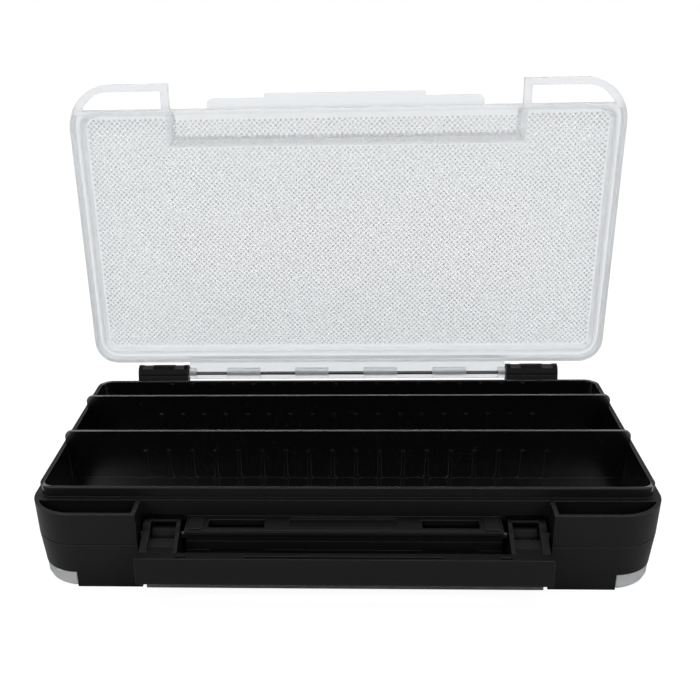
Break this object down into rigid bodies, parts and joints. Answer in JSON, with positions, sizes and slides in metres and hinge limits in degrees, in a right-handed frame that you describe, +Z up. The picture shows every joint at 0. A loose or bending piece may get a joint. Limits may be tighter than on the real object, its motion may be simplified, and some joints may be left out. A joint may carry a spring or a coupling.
{
  "type": "lure box",
  "caption": "Two-sided lure box with back-to-back black trays, frosted hinged lids above and below, swing latches in a front bay and strap holes at the front corners.",
  "frame": {"origin": "on the surface that the box stands on, under the middle of its bounding box with the upper lid open", "axes": "+X to the right along the hinges, +Y to the rear, +Z up"},
  "size_m": [0.233, 0.151, 0.1637],
  "materials": {
    "body": "satin moulded",
    "lid": "frosted, finely dotted",
    "latch": "satin moulded",
    "pin": "drawn wire"
  },
  "bodies": {
    "body": {"upper_tray": "body", "lower_tray": "body", "upper_hinge_pin": "pin", "lower_hinge_pin": "pin", "latch_pin_right": "pin", "latch_pin_left": "pin"},
    "upper_lid": {"upper_lid": "lid"},
    "lower_lid": {"lower_lid": "lid"},
    "upper_latch": {"upper_latch": "latch"},
    "lower_latch": {"lower_latch": "latch", "lower_latch_arm_right": "latch", "lower_latch_arm_left": "latch"}
  },
  "joints": [
    {"name": "upper_lid_hinge", "type": "hinge", "parent": "body", "child": "upper_lid", "pos_m": [0, 0.0671, 0.0342], "axis": [1, 0, 0], "range_deg": [0, 90]},
    {"name": "lower_lid_hinge", "type": "hinge", "parent": "body", "child": "lower_lid", "pos_m": [0, 0.0671, 0.0043], "axis": [1, 0, 0], "range_deg": [0, 90]},
    {"name": "upper_latch_pivot", "type": "hinge", "parent": "body", "child": "upper_latch", "pos_m": [0, -0.0544, 0.0188], "axis": [1, 0, 0], "range_deg": [-80, 0]},
    {"name": "lower_latch_pivot", "type": "hinge", "parent": "body", "child": "lower_latch", "pos_m": [0, -0.0544, 0.0188], "axis": [1, 0, 0], "range_deg": [0, 12]}
  ]
}
